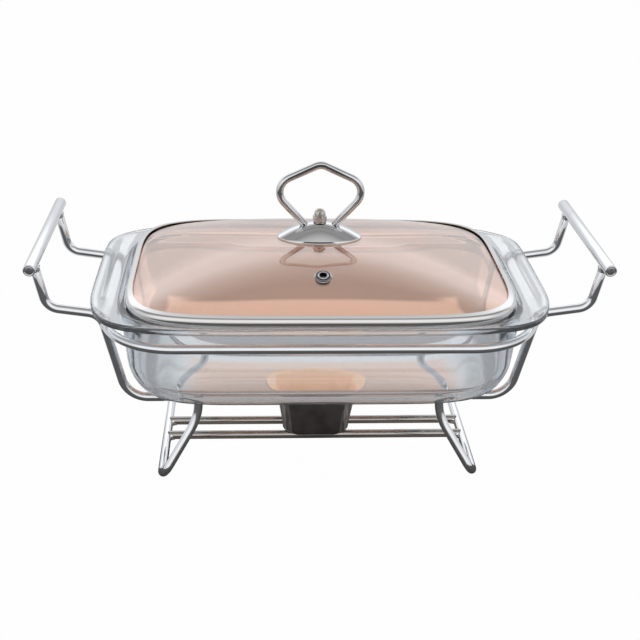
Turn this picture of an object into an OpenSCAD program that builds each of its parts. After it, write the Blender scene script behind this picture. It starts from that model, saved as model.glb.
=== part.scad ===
// Chafing dish: a clear glass dish with an amber glass lid, carried by a bent-wire stand
// that holds a small candle burner under the dish. Millimetres, origin on the table at the middle,
// X along the dish, Y across it with the front at -Y, Z up.

/* [Wire stand] */
// Diameter of the stand's wire
wire_d = 7; // [6:0.5:7.5]
// Distance between the axes of the two handle bars
handle_span = 422; // [416:1:440]
// Diameter of a handle bar
bar_d = 9; // [8:0.5:12]
// Length of a handle bar with its end caps
bar_len = 142; // [130:1:170]
// Height of the handle bars' axes
bar_z = 179; // [172:1:190]
// Distance between the front and rear cradle wires
cradle_gap = 110; // [100:1:116]
// Height of the cradle wires' lower run
run_z = 66; // [62:0.5:70]
// Length of the loop that the two guard wires follow, between wire axes
guard_len = 327; // [324:0.5:328]
// Width of that loop between wire axes
guard_wid = 194; // [193:0.5:200]
// Corner radius of the guard wires
guard_corner = 55; // [48:1:58]
// Height of the guard wires' axes
guard_z = 129; // [126:0.5:130]
// Distance between the floor runs of the two feet
foot_span = 247.6; // [240:0.1:260]
// Distance between the front and rear corners of a foot
foot_len = 150; // [140:1:160]
// Distance between the two burner rails
rail_gap = 23; // [20:1:30]

/* [Burner] */
// Length of the burner cup at its mouth
cup_len = 67; // [63:1:72]
// Width of the burner cup at its mouth
cup_wid = 56; // [54:1:60]
// How much each side of the cup draws in towards its base
cup_draw = 6; // [4:0.5:6.5]
// Height of the burner cup
cup_h = 41; // [36:1:44]
// Diameter of the tealight candle
candle_d = 37.5; // [34:0.5:38]
// Height of the tealight candle's case
candle_h = 15; // [12:1:16]

/* [Dish] */
// Length of the glass dish over its lugs
dish_len = 346; // [343:1:348]
// Width of the glass dish over its rim
dish_wid = 208; // [207:1:212]
// Thickness of the dish's walls
dish_t = 5; // [4:0.5:6]
// Height of the dish's rim above its base
dish_h = 77.4; // [77:0.1:79]
// How far the lid's seat lies below the rim
seat_drop = 1.7; // [1:0.1:2]
// How far the lugs rise above the rim
lug_rise = 2.8; // [1:0.1:3]

/* [Lid] */
// Length of the lid over its rim band
lid_len = 294.6; // [290:0.2:297]
// Width of the lid over its rim band
lid_wid = 201.2; // [198:0.2:202]
// Height of the rim band
band_h = 8.4; // [7:0.2:9]
// Thickness of the lid's glass
lid_t = 4; // [3.5:0.5:4.5]
// Rise of the glass dome above its edge
dome_rise = 26.6; // [22:0.1:28]
// Distance of the steam vent from the middle of the lid
vent_y = 60; // [50:1:64]

/* [Lid handle] */
// Diameter of the handle loop's wire
loop_d = 5.4; // [4.5:0.1:6]
// Height of the loop's apex above the glass
loop_h = 59.4; // [54:0.2:66]
// Distance between the loop's two shoulders, before they are rounded
loop_wid = 76; // [66:1:80]
// Length of the oval handle plate
plate_len = 66; // [60:1:74]
// Width of the oval handle plate
plate_wid = 36; // [34:1:44]
// Thread diameter of the handle screw
screw_d = 6; // [5:1:6]

/* [Hidden] */
$fn = 48;
CHROME = [0.80, 0.81, 0.83];
STEEL = [0.62, 0.62, 0.63];
ALUMINIUM = [0.78, 0.78, 0.78];
CLEAR_GLASS = [0.78, 0.87, 0.90, 0.5];
AMBER_GLASS = [0.78, 0.60, 0.50, 0.7];
WAX = [0.95, 0.94, 0.90];
COTTON = [0.92, 0.90, 0.84];
SILICONE = [0.85, 0.85, 0.84];
DARK = [0.25, 0.25, 0.26];

// Room left between pieces that rest on each other, in a slip fit and at a welded seam
rest_gap = 0.3;
slip = 0.1;
weld_gap = 0.05;
seam_step = 0.04;
seam_lap = 0.4;
// How far a cutter runs past the face that it opens
over = 1;
wire_r = wire_d / 2;

// Floor runs have a flat ground under them; the rails hang just clear of the table
foot_flat = 0.3;
foot_z = wire_r - foot_flat;
rail_z = wire_r + rest_gap;
foot_bend = 9;
knee_bend = 40;
limb_top = [94.2, cradle_gap / 2];
limb_knee = [94.6, cradle_gap / 2 + 2, run_z - 17];

// One half of a cradle wire, from its handle bar inwards
shelf_out = [204, 142.8];
shelf_in = [165, 137.2];
cradle_foot = 148.6;
cradle_bends = [12, 13, 20];

// Handle bar tube and its plugs
tube_t = 1;
cap_t = 1.5;
cap_ease = 0.5;
plug_len = 6;

// Burner cup, resting on the rails
cup_t = 0.8;
cup_z = rail_z + wire_r + rest_gap;
cup_chamfer = 7;
cup_round = 4;
cup_brim = 0.1;

// Candle parts
candle_z = cup_z + cup_t + rest_gap;
foil_t = 0.4;
wax_h = candle_h - 3;
wick_d = 1.6;
wick_h = 20;
sustainer_d = 20;
sustainer_h = 0.6;
neck_d = 3.4;
neck_h = 4;

// Dish: the base rests on the cradle's lower run. Each wall is a straight draft
// that runs into the base through a round of its own radius, and thickens to the rim.
sides = 96;
plan_power = 5.2;
wall_power = 7;
dish_z = run_z + wire_r + rest_gap;
rim_z = dish_z + dish_h;
seat_z = rim_z - seat_drop;
end_hub = 112;
end_round = 36;
end_draft = 4;
side_hub = 70.4;
side_round = 18;
side_draft = 4.5;
flange_t = 5;
flange_round = 1.4;
edge_ease = 0.4;
neck_in = 8;
neck_ease = 1;
neck_drop = 4;
seat_play = 0.7;
seat_lip = 1.1;
seat_in = 4;
seat_ease = 2;
rim_swell = 3;
lug_start = 2;
lug_ramp = 8;
lug_corner = 18;
lug_fade = 14;

// Lid: a rolled band grips the edge of the domed glass
band_z = seat_z + rest_gap;
band_t = 0.8;
band_lip = 3;
bead_in = 1.6;
bead_ease = 0.4;
bead_rise = 1.2;
edge_gap = 0.15;
edge_z = band_z + band_h / 2 - lid_t / 2;
edge_top = edge_z + lid_t;
crown_z = edge_top + dome_rise;
edge_in = band_t + edge_gap + 0.5;
glass_a = lid_len / 2 - edge_in;
glass_b = lid_wid / 2 - edge_in;
dome_rings = 10;
hole_r = screw_d / 2 + 1.2;

// Steam vent, square to the slope of the dome
vent_s = (vent_y - hole_r) / (glass_b - hole_r);
vent_z = dome_z(vent_s);
vent_slope = atan(2 * dome_rise * vent_s / (glass_b - hole_r));
vent_flange = 13.6;
vent_shank = 7.6;
vent_bore = 4.6;
vent_top = 1.8;
vent_seat = 0.4;
vent_brim = 1;
vent_roll = 2;
vent_washer_d = 11.4;
vent_washer_h = 1.2;

// Lid handle
plate_gap = 0.25;
plate_z = crown_z + plate_gap;
plate_t = 1.2;
plate_h = 11.2;
plate_brim = 1.6;
plate_power = 2.2;
plate_foot = 0.97;
loop_foot = 9.3;
loop_base = plate_z + 6.2;
loop_shoulder = crown_z + 0.67 * loop_h;
loop_apex = crown_z + loop_h;
loop_bends = [10, 20, 10];
loop_path = [
    [-loop_foot, 0, loop_base],
    [-loop_wid / 2, 0, loop_shoulder],
    [0, 0, loop_apex],
    [loop_wid / 2, 0, loop_shoulder],
    [loop_foot, 0, loop_base],
];
washer_h = 0.8;
washer_d = screw_d * 1.75;
nut_af = screw_d * 10 / 6;
nut_h = screw_d * 10 / 6;
nut_roof = 2.5;
gasket_h = 1.5;
gasket_d = 20;
bush_play = 0.5;
bush_h = plate_gap + plate_h - plate_t - slip - bush_play;
bush_d = 11.4;
screw_head_d = screw_d * 2;
screw_head_h = 3.4;
screw_head_taper = 3;
nut_z = plate_z + plate_h + slip + washer_h + slip;
glass_under = crown_z - lid_t;

// Bent wire: straight rods joined by torus elbows
function unit(v) = v / norm(v);
function turn(a, b, c) = acos(unit(b - a) * unit(c - b));
function setback(a, b, c, r) = r * tan(turn(a, b, c) / 2);

module straight(p, q, d) {
    run = q - p;
    translate(p)
        rotate([0, acos(run.z / norm(run)), atan2(run.y, run.x)])
            cylinder(d = d, h = norm(run));
}

module elbow(a, b, c, r, d) {
    ahead = unit(b - a);
    away = unit(c - b);
    side = unit(away - ahead * (ahead * away));
    axis = cross(ahead, side);
    hub = b - ahead * setback(a, b, c, r) + side * r;
    multmatrix([
        [-side.x, ahead.x, axis.x, hub.x],
        [-side.y, ahead.y, axis.y, hub.y],
        [-side.z, ahead.z, axis.z, hub.z],
        [0, 0, 0, 1],
    ])
        rotate_extrude(angle = turn(a, b, c))
            translate([r, 0])
                circle(d = d);
}

// A straight run is a hair thinner than the elbows and laps a little way into them
module bent_wire(path, bends, d) {
    last = len(path) - 1;
    cut = [
        for (i = [0:last])
            i == 0 || i == last ? 0 : setback(path[i - 1], path[i], path[i + 1], bends[i - 1]) - seam_lap
    ];
    for (i = [0:last - 1]) {
        way = unit(path[i + 1] - path[i]);
        straight(path[i] + way * cut[i], path[i + 1] - way * cut[i + 1], d - seam_step);
    }
    for (i = [1:last - 1])
        elbow(path[i - 1], path[i], path[i + 1], bends[i - 1], d);
}

// Rounded outlines: a superellipse of half-length a and half-width b
function signed_pow(v, p) = sign(v) * pow(abs(v), p);
function outline(a, b, z, power = plan_power, count = sides) = [
    for (i = [0:count - 1])
        let (t = 360 * i / count)
            [a * signed_pow(cos(t), 2 / power), b * signed_pow(sin(t), 2 / power), z]
];

function walls(rings, around) = let (count = len(rings[0])) [
    for (k = [0:around - 1], i = [0:count - 1])
        let (
            j = (i + 1) % count,
            low = k * count,
            high = ((k + 1) % len(rings)) * count
        )
            each [[low + i, high + i, high + j], [low + i, high + j, low + j]]
];

// A stack of outlines closed at its first and last one
module loft(rings) {
    count = len(rings[0]);
    top = (len(rings) - 1) * count;
    polyhedron(
        points = [for (ring = rings) each ring],
        faces = concat(
            [[for (i = [0:count - 1]) i]],
            walls(rings, len(rings) - 1),
            [[for (i = [count - 1:-1:0]) top + i]]
        )
    );
}

// A stack of outlines whose last one joins the first again
module hoop(rings) {
    polyhedron(
        points = [for (ring = rings) each ring],
        faces = walls(rings, len(rings))
    );
}

// Wire stand. A guard wire is one half of a rounded loop, cut to butt against a cradle wire.
module guard_wire(facing) {
    x = guard_len / 2;
    y = facing * guard_wid / 2;
    path = [[-x, 0, guard_z], [-x, y, guard_z], [x, y, guard_z], [x, 0, guard_z]];
    color(CHROME)
        difference() {
            bent_wire(path, [guard_corner, guard_corner], wire_d);
            translate([-guard_len, -cradle_gap / 2, guard_z - wire_d])
                cube([2 * guard_len, cradle_gap, 2 * wire_d]);
            for (side = [-1, 1])
                cradle_drop(side, facing * cradle_gap / 2, wire_d + 2 * weld_gap);
        }
}

module front_guard_wire() {
    guard_wire(-1);
}

module rear_guard_wire() {
    guard_wire(1);
}

// The steep stretch of a cradle wire beside the end of the dish
module cradle_drop(side, y, d) {
    straight([side * shelf_in.x, y, shelf_in.y], [side * cradle_foot, y, run_z], d);
}

module bar_axis(side, d, spread = 0) {
    translate([side * handle_span / 2, bar_len / 2 + spread, bar_z])
        rotate([90, 0, 0])
            cylinder(d = d, h = bar_len + 2 * spread);
}

module cradle_wire(y) {
    half = [
        [handle_span / 2, y, bar_z],
        [shelf_out.x, y, shelf_out.y],
        [shelf_in.x, y, shelf_in.y],
        [cradle_foot, y, run_z],
    ];
    path = concat(half, [for (i = [3:-1:0]) [-half[i].x, y, half[i].z]]);
    bends = concat(cradle_bends, [for (i = [2:-1:0]) cradle_bends[i]]);
    color(CHROME)
        difference() {
            bent_wire(path, bends, wire_d);
            for (side = [-1, 1])
                bar_axis(side, bar_d + 2 * weld_gap);
        }
}

module front_cradle_wire() {
    cradle_wire(-cradle_gap / 2);
}

module rear_cradle_wire() {
    cradle_wire(cradle_gap / 2);
}

module handle_bar(side) {
    color(CHROME)
        difference() {
            bar_axis(side, bar_d, -cap_t);
            bar_axis(side, bar_d - 2 * tube_t);
        }
}

module left_handle_bar() {
    handle_bar(-1);
}

module right_handle_bar() {
    handle_bar(1);
}

module bar_end_caps(side) {
    color(STEEL)
        for (end = [-1, 1])
            translate([side * handle_span / 2, end * bar_len / 2, bar_z])
                rotate([end * 90, 0, 0]) {
                    cylinder(d1 = bar_d - 2 * cap_ease, d2 = bar_d, h = cap_ease);
                    translate([0, 0, cap_ease])
                        cylinder(d = bar_d, h = cap_t - cap_ease - weld_gap);
                    translate([0, 0, cap_t - weld_gap])
                        cylinder(d = bar_d - 2 * tube_t - 2 * weld_gap, h = plug_len);
                }
}

module left_bar_end_caps() {
    bar_end_caps(-1);
}

module right_bar_end_caps() {
    bar_end_caps(1);
}

module foot(side) {
    half = [
        [side * limb_top.x, limb_top.y, run_z],
        [side * limb_knee.x, limb_knee.y, limb_knee.z],
        [side * foot_span / 2, foot_len / 2, foot_z],
    ];
    path = concat(half, [for (i = [2:-1:0]) [half[i].x, -half[i].y, half[i].z]]);
    color(CHROME)
        difference() {
            bent_wire(path, [knee_bend, foot_bend, foot_bend, knee_bend], wire_d);
            for (y = [-1, 1] * cradle_gap / 2)
                straight([0, y, run_z], [side * handle_span / 2, y, run_z], wire_d + 2 * weld_gap);
            translate([-handle_span / 2, -foot_len, -wire_d])
                cube([handle_span, 2 * foot_len, wire_d]);
        }
}

module left_foot() {
    foot(-1);
}

module right_foot() {
    foot(1);
}

module rail(y) {
    x = foot_span / 2;
    color(CHROME)
        difference() {
            straight([-x, y, rail_z], [x, y, rail_z], wire_d);
            for (side = [-x, x])
                straight([side, y - wire_d, foot_z], [side, y + wire_d, foot_z], wire_d + 2 * weld_gap);
        }
}

module front_rail() {
    rail(-rail_gap / 2);
}

module rear_rail() {
    rail(rail_gap / 2);
}

// Burner
module cup_corners(len, wid, chamfer) {
    for (sx = [-1, 1], sy = [-1, 1]) {
        translate([sx * len / 2, sy * (wid / 2 - chamfer), 0])
            children();
        translate([sx * (len / 2 - chamfer), sy * wid / 2, 0])
            children();
    }
}

// Pressed cup form: rounded base edge, chamfered corners, drawn sides
module cup_form(shrink, low, high) {
    r = cup_round - shrink;
    inset = 2 * cup_round;
    hull() {
        translate([0, 0, low + r])
            cup_corners(cup_len - 2 * cup_draw - inset, cup_wid - 2 * cup_draw - inset, cup_chamfer)
                sphere(r, $fn = 24);
        translate([0, 0, high - cup_brim])
            cup_corners(cup_len - inset, cup_wid - inset, cup_chamfer)
                cylinder(r = r, h = cup_brim, $fn = 24);
    }
}

module burner_cup() {
    color(DARK)
        difference() {
            cup_form(0, cup_z, cup_z + cup_h);
            cup_form(cup_t, cup_z + cup_t, cup_z + cup_h + cup_brim);
        }
}

module tealight_case() {
    color(ALUMINIUM)
        translate([0, 0, candle_z])
            difference() {
                cylinder(d = candle_d, h = candle_h);
                translate([0, 0, foil_t])
                    cylinder(d = candle_d - 2 * foil_t, h = candle_h);
            }
}

module tealight_wax() {
    color(WAX)
        translate([0, 0, candle_z + foil_t + slip])
            difference() {
                cylinder(d = candle_d - 2 * foil_t - 2 * slip, h = wax_h);
                translate([0, 0, -over]) {
                    cylinder(d = sustainer_d + 2 * slip, h = over + sustainer_h + slip);
                    cylinder(d = neck_d + 2 * slip, h = over + sustainer_h + neck_h + slip);
                    cylinder(d = wick_d + 2 * slip, h = wax_h + 2 * over);
                }
            }
}

module wick_sustainer() {
    color(STEEL)
        translate([0, 0, candle_z + foil_t + slip])
            difference() {
                union() {
                    cylinder(d = sustainer_d, h = sustainer_h);
                    cylinder(d = neck_d, h = sustainer_h + neck_h);
                }
                translate([0, 0, -over])
                    cylinder(d = wick_d + slip, h = sustainer_h + neck_h + 2 * over);
            }
}

module wick() {
    color(COTTON)
        translate([0, 0, candle_z + foil_t + slip])
            cylinder(d = wick_d, h = wick_h);
}

// Glass dish. Half-size of a wall at height z, set inwards by inset from the outer face.
function wall_half(z, hub, bend, draft, inset) = let (
    r = bend - inset,
    centre = dish_z + bend,
    tangent = centre - r * sin(draft)
)
    z < tangent
        ? hub + sqrt(max(0, pow(r, 2) - pow(centre - z, 2)))
        : hub + r * cos(draft) + (z - tangent) * tan(draft);

function wall_ring(z, inset, lean = 0) = outline(
    wall_half(z, end_hub, end_round, end_draft, inset) - lean,
    wall_half(z, side_hub, side_round, side_draft, inset) - lean,
    z,
    wall_power
);

// The inner face leans in from the outer one by rim_swell more at the seat than at the floor
function inner_ring(z) = let (
    rise = max(0, (z - dish_z - dish_t) / (seat_z - dish_z - dish_t))
)
    wall_ring(z, dish_t, rim_swell * rise);

function flange_ring(inset, z) = outline(dish_len / 2 - inset, dish_wid / 2 - inset, z);

// The lid's seat is sunk into the rim with a little play around the band
function seat_ring(spread, z) = outline(lid_len / 2 + spread, lid_wid / 2 + spread, z);

// Outlines across the rim, from its outer round (k = 0) to the lip of the seat (k = 1)
function rim_ring(k) = outline(
    (dish_len / 2 - flange_round) * (1 - k) + (lid_len / 2 + seat_lip) * k,
    (dish_wid / 2 - flange_round) * (1 - k) + (lid_wid / 2 + seat_lip) * k,
    rim_z
);

// Lugs swell up outside the lid, at both ends of the dish
function ramp(v) = let (k = min(1, max(0, v))) k * k * (3 - 2 * k);
function lug_swell(p) = lug_rise
    * ramp((abs(p.x) - lid_len / 2 - lug_start) / lug_ramp)
    * ramp((dish_wid / 2 - lug_corner - abs(p.y)) / lug_fade);
function swell_ring(ring) = [for (p = ring) [p.x, p.y, p.z + lug_swell(p)]];

module glass_dish() {
    under = rim_z - flange_t;
    floor_z = dish_z + dish_t;
    wall_top = under - neck_drop;
    base_steps = [for (t = [0:12:84]) end_round * (1 - cos(t))];
    inner_share = 0.8;
    last = len(base_steps) - 1;
    color(CLEAR_GLASS)
        loft(concat(
            [for (h = base_steps) wall_ring(dish_z + h, 0)],
            [
                wall_ring(wall_top, 0),
                flange_ring(neck_in + neck_ease, under - neck_ease),
                flange_ring(neck_in - neck_ease, under),
                flange_ring(flange_round, under),
                flange_ring(edge_ease, under + edge_ease),
                flange_ring(0, under + flange_round),
                swell_ring(flange_ring(0, rim_z - flange_round)),
                swell_ring(flange_ring(edge_ease, rim_z - edge_ease)),
            ],
            [for (k = [0:0.25:1]) swell_ring(rim_ring(k))],
            [
                seat_ring(seat_play, seat_z),
                seat_ring(-seat_in, seat_z),
                inner_ring(seat_z - seat_ease),
                inner_ring(wall_top),
            ],
            [for (i = [last:-1:0]) inner_ring(floor_z + base_steps[i] * inner_share)]
        ));
}

// Lid. Outline power eases from the rim's rounded rectangle to a circle at the screw hole.
function dome_z(s) = edge_top + dome_rise * (1 - s * s);
function dome_power(s) = 2 + (plan_power - 2) * s * s;
function dome_ring(s, drop) = outline(
    hole_r + (glass_a - hole_r) * s,
    hole_r + (glass_b - hole_r) * s,
    dome_z(s) - drop,
    dome_power(s)
);

module vent_frame() {
    translate([0, -vent_y, vent_z])
        rotate([vent_slope, 0, 0])
            children();
}

module lid_glass() {
    steps = [for (k = [0:dome_rings]) k / dome_rings];
    color(AMBER_GLASS)
        difference() {
            hoop(concat(
                [for (s = steps) dome_ring(s, lid_t)],
                [for (k = [dome_rings:-1:0]) dome_ring(steps[k], 0)]
            ));
            vent_frame()
                translate([0, 0, -2 * lid_t])
                    cylinder(d = vent_shank + 2 * slip, h = 4 * lid_t);
        }
}

// Rolled band: a full round outside, two lips that hold the glass
function band_ring(inset, h) = outline(lid_len / 2 - inset, lid_wid / 2 - inset, band_z + h);

module lid_rim_band() {
    mouth_low = band_h / 2 - lid_t / 2 - edge_gap;
    mouth_high = band_h / 2 + lid_t / 2 + edge_gap;
    lip_drop = 2 * dome_rise * band_lip / glass_b;
    color(STEEL)
        hoop([
            band_ring(band_lip + band_t, mouth_low - band_t),
            band_ring(bead_in, 0),
            band_ring(bead_ease, bead_rise),
            band_ring(0, band_h / 2),
            band_ring(bead_ease, band_h - bead_rise),
            band_ring(bead_in, band_h),
            band_ring(band_lip + band_t, mouth_high + band_t + lip_drop),
            band_ring(band_lip + band_t, mouth_high + lip_drop),
            band_ring(band_t, mouth_high),
            band_ring(band_t, mouth_low),
            band_ring(band_lip + band_t, mouth_low - edge_gap),
        ]);
}

// Rolled eyelet with a domed flange on the glass and a spun washer under it
module vent_eyelet() {
    color(CHROME)
        vent_frame()
            rotate_extrude()
                polygon([
                    [vent_bore / 2, -lid_t - 2 * slip - vent_washer_h],
                    [vent_shank / 2 - slip, -lid_t - 2 * slip - vent_washer_h],
                    [vent_shank / 2 - slip, vent_seat],
                    [vent_flange / 2, vent_seat],
                    [vent_flange / 2 - slip, vent_brim],
                    [vent_flange / 2 - vent_roll, vent_top],
                    [vent_bore / 2 + vent_roll / 2, vent_top],
                    [vent_bore / 2, vent_top - vent_roll / 2],
                ]);
}

module vent_washer() {
    color(CHROME)
        vent_frame()
            translate([0, 0, -lid_t - 2 * slip - vent_washer_h])
                difference() {
                    cylinder(d = vent_washer_d, h = vent_washer_h);
                    translate([0, 0, -over])
                        cylinder(d = vent_shank + slip, h = vent_washer_h + 2 * over);
                }
}

// Oval pressed plate that the loop's ends are pressed into
module handle_plate() {
    a = plate_len / 2;
    b = plate_wid / 2;
    rows = 6;
    count = 64;
    hole = screw_d / 2 + slip;
    function plate_ring(s, h) = outline(
        hole + (a - hole) * s, hole + (b - hole) * s, plate_z + h, 2, count
    );
    function crown(s) = plate_brim + (plate_h - plate_brim) * (1 - pow(s, plate_power));
    color(CHROME)
        hoop(concat(
            [for (k = [0:rows - 1]) plate_ring(k / rows * plate_foot, max(0, crown(k / rows) - plate_t))],
            [plate_ring(plate_foot, 0), plate_ring(1, 0), plate_ring(1, plate_brim)],
            [for (k = [rows - 1:-1:0]) plate_ring(k / rows, crown(k / rows))]
        ));
}

module handle_loop() {
    color(CHROME)
        bent_wire(loop_path, loop_bends, loop_d);
}

module nut_washer() {
    color(STEEL)
        translate([0, 0, plate_z + plate_h + slip])
            difference() {
                cylinder(d = washer_d, h = washer_h);
                translate([0, 0, -over])
                    cylinder(d = screw_d + 2 * slip, h = washer_h + 2 * over);
            }
}

// Acorn nut: hexagon below, round dome above, blind thread bore
module cap_nut() {
    hex_h = 0.43 * nut_h;
    dome_r = 0.44 * nut_af;
    color(STEEL)
        translate([0, 0, nut_z])
            difference() {
                union() {
                    cylinder(d = nut_af / cos(30), h = hex_h, $fn = 6);
                    cylinder(r = dome_r, h = nut_h - dome_r);
                    translate([0, 0, nut_h - dome_r])
                        sphere(dome_r);
                }
                translate([0, 0, -over])
                    cylinder(d = screw_d + 2 * slip, h = over + nut_h - nut_roof);
            }
}

module inner_stack(d, bore, z, h) {
    translate([0, 0, z])
        difference() {
            cylinder(d = d, h = h);
            translate([0, 0, -over])
                cylinder(d = bore, h = h + 2 * over);
        }
}

// Silicone keeps the metal off the glass: a bush inside the plate, a gasket under the dome
module outer_bush() {
    color(SILICONE)
        inner_stack(bush_d, screw_d + 2 * slip, crown_z + slip, bush_h);
}

module inner_gasket() {
    color(SILICONE)
        inner_stack(gasket_d, screw_d + 2 * slip, glass_under - gasket_h - 4 * slip, gasket_h);
}

module inner_washer() {
    color(STEEL)
        inner_stack(
            washer_d + 4, screw_d + 2 * slip, glass_under - gasket_h - washer_h - 5 * slip, washer_h
        );
}

module lid_screw() {
    head_top = glass_under - gasket_h - washer_h - 6 * slip;
    color(STEEL)
        translate([0, 0, head_top]) {
            translate([0, 0, -screw_head_h])
                cylinder(d1 = screw_head_d - screw_head_taper, d2 = screw_head_d, h = screw_head_h);
            cylinder(d = screw_d, h = nut_z + nut_h / 2 - head_top);
        }
}

front_guard_wire();
rear_guard_wire();
front_cradle_wire();
rear_cradle_wire();
left_handle_bar();
right_handle_bar();
left_bar_end_caps();
right_bar_end_caps();
left_foot();
right_foot();
front_rail();
rear_rail();
burner_cup();
tealight_case();
tealight_wax();
wick();
wick_sustainer();
glass_dish();
lid_glass();
lid_rim_band();
vent_eyelet();
vent_washer();
handle_plate();
handle_loop();
cap_nut();
nut_washer();
lid_screw();
inner_washer();
inner_gasket();
outer_bush();
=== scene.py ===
# Looks of a chafing dish: a clear glass dish under an amber half-mirror lid, on a chrome wire stand
# with a candle burner. Metres; X along the dish, the front at -Y, the table at Z = 0.
import math
import random

import bpy
from mathutils import Matrix, Vector


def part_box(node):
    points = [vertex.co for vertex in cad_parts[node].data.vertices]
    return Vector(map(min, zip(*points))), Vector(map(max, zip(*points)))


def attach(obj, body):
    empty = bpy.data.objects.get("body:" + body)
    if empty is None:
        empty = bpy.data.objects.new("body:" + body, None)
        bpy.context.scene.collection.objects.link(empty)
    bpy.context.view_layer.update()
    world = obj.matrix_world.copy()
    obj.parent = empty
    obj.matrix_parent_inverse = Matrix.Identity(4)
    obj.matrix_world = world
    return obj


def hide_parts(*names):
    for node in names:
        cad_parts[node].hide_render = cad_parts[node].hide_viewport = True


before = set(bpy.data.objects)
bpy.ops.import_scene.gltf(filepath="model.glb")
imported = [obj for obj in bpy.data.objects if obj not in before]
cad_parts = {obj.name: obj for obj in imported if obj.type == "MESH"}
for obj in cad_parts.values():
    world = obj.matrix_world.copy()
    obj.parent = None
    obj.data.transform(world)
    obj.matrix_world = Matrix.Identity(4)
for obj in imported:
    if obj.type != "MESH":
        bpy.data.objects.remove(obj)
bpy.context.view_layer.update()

MM = 0.001


# Studio camera: a plain lens. Its place and its turn were fitted to the photo from the straight and
# mirrored runs of the wire stand.
IMAGE_PX = 640
FOCAL_PX = 1100
SENSOR = 36.0
CAMERA_AT = Vector((-47.4, -799.3, 497.5)) * MM
YAW, PITCH, ROLL = (math.radians(a) for a in (3.552, 26.114, -1.473))

ahead = Vector((math.sin(YAW) * math.cos(PITCH), math.cos(YAW) * math.cos(PITCH), -math.sin(PITCH)))
level = Vector((math.cos(YAW), -math.sin(YAW), 0))
down = ahead.cross(level)
right = math.cos(ROLL) * level + math.sin(ROLL) * down
up = math.sin(ROLL) * level - math.cos(ROLL) * down
lens = bpy.data.cameras.new("photo_camera")
lens.sensor_width = SENSOR
lens.lens = FOCAL_PX / IMAGE_PX * SENSOR
camera = bpy.data.objects.new("photo_camera", lens)
camera.matrix_world = Matrix.Translation(CAMERA_AT) @ Matrix((right, up, -ahead)).transposed().to_4x4()
studio = bpy.context.scene
studio.collection.objects.link(camera)
studio.camera = camera
studio.view_settings.view_transform = "Standard"


# Studio sweep: a curved backdrop that is bright low behind the dish, dark overhead and pale again
# over the camera. The chrome and the lid's mirror coat show it.
class Field:
    """One shader socket. Arithmetic on it adds Math nodes; node() adds any other node."""

    def __init__(self, tree, socket=None):
        self.tree = tree
        self.socket = socket

    def feed(self, target, value):
        if isinstance(value, Field):
            self.tree.links.new(value.socket, target)
        elif target.type == "RGBA":
            target.default_value = (*value, 1.0)
        else:
            target.default_value = value

    def node(self, kind, settings=None, sockets=None, out=0):
        made = self.tree.nodes.new("ShaderNode" + kind)
        for name, value in (settings or {}).items():
            if name == "stops":
                while len(made.color_ramp.elements) < len(value):
                    made.color_ramp.elements.new(1.0)
                for stop, (place, colour) in zip(made.color_ramp.elements, value):
                    stop.position = place
                    stop.color = (*colour, 1.0)
            else:
                setattr(made, name, value)
        for name, value in (sockets or {}).items():
            self.feed(made.inputs[name], value)
        return Field(self.tree, made.outputs[out])

    def outs(self, kind, names, sockets=None):
        """The named outputs of one new node."""
        made = self.node(kind, None, sockets).socket.node
        return [Field(self.tree, made.outputs[name]) for name in names]

    def math(self, operation, first, second=0.0):
        return self.node("Math", {"operation": operation}, {0: first, 1: second})

    def vector(self, operation, *others, out="Vector"):
        ends = dict(enumerate((self, *others)))
        return self.node("VectorMath", {"operation": operation}, ends, out)

    def clamped(self):
        return self.node("Clamp", None, {"Value": self})

    def step(self, low, high):
        limits = {"Value": self, "From Min": low, "From Max": high}
        return self.node("MapRange", {"interpolation_type": "SMOOTHSTEP"}, limits)

    def between(self, low, high):
        """A value that goes from low to high as this one goes from 0 to 1."""
        return low + (high - low) * self

    def blend(self, low, high):
        """A colour that goes from low to high as this value goes from 0 to 1."""
        colours = {"Factor": self, 6: low, 7: high}
        return self.node("Mix", {"data_type": "RGBA"}, colours, out=2)

    def __abs__(self):
        return self.math("ABSOLUTE", self)

    def __add__(self, other):
        return self.math("ADD", self, other)

    def __radd__(self, other):
        return self.math("ADD", other, self)

    def __sub__(self, other):
        return self.math("SUBTRACT", self, other)

    def __rsub__(self, other):
        return self.math("SUBTRACT", other, self)

    def __mul__(self, other):
        return self.math("MULTIPLY", self, other)

    def __rmul__(self, other):
        return self.math("MULTIPLY", other, self)

    def __truediv__(self, other):
        return self.math("DIVIDE", self, other)


def grey(value):
    return (value, value, value)


# Stops of the sweep: the angle from the horizon behind the dish, over the top, to the one
# behind the camera, as a share of the half turn, and the light there.
SWEEP = [
    (0.0, (0.72, 0.735, 0.76)),
    (0.10, (0.88, 0.895, 0.92)),
    (0.15, (1.30, 1.32, 1.36)),
    (0.21, (1.30, 1.32, 1.36)),
    (0.27, (0.80, 0.81, 0.83)),
    (0.35, (0.33, 0.33, 0.34)),
    (0.43, grey(0.34)),
    (0.51, grey(0.36)),
    (0.56, grey(0.32)),
    (0.64, grey(0.60)),
    (0.75, grey(1.05)),
    (0.92, grey(1.10)),
    (1.0, grey(0.70)),
]
WHITE = grey(1.0)
SIDE_LIGHT = (0.8, 0.81, 0.83)
SIDE_FROM = (0.72, 0.96)
WHITER_IN_GLASS = 0.15
room = bpy.data.worlds.new("studio_sweep")
room.use_nodes = True
studio.world = room
room.node_tree.nodes.clear()
sky = Field(room.node_tree)
way = sky.node("TexCoord", out="Generated")
way_x, way_y, way_z = way.outs("SeparateXYZ", ("X", "Y", "Z"), {0: way})
over_top = way_z.math("ARCTAN2", way_z, way_y) / math.pi
swept = over_top.node("ValToRGB", {"stops": SWEEP}, {"Fac": over_top})
walls = abs(way_x).step(*SIDE_FROM).blend(swept, SIDE_LIGHT)
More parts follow.
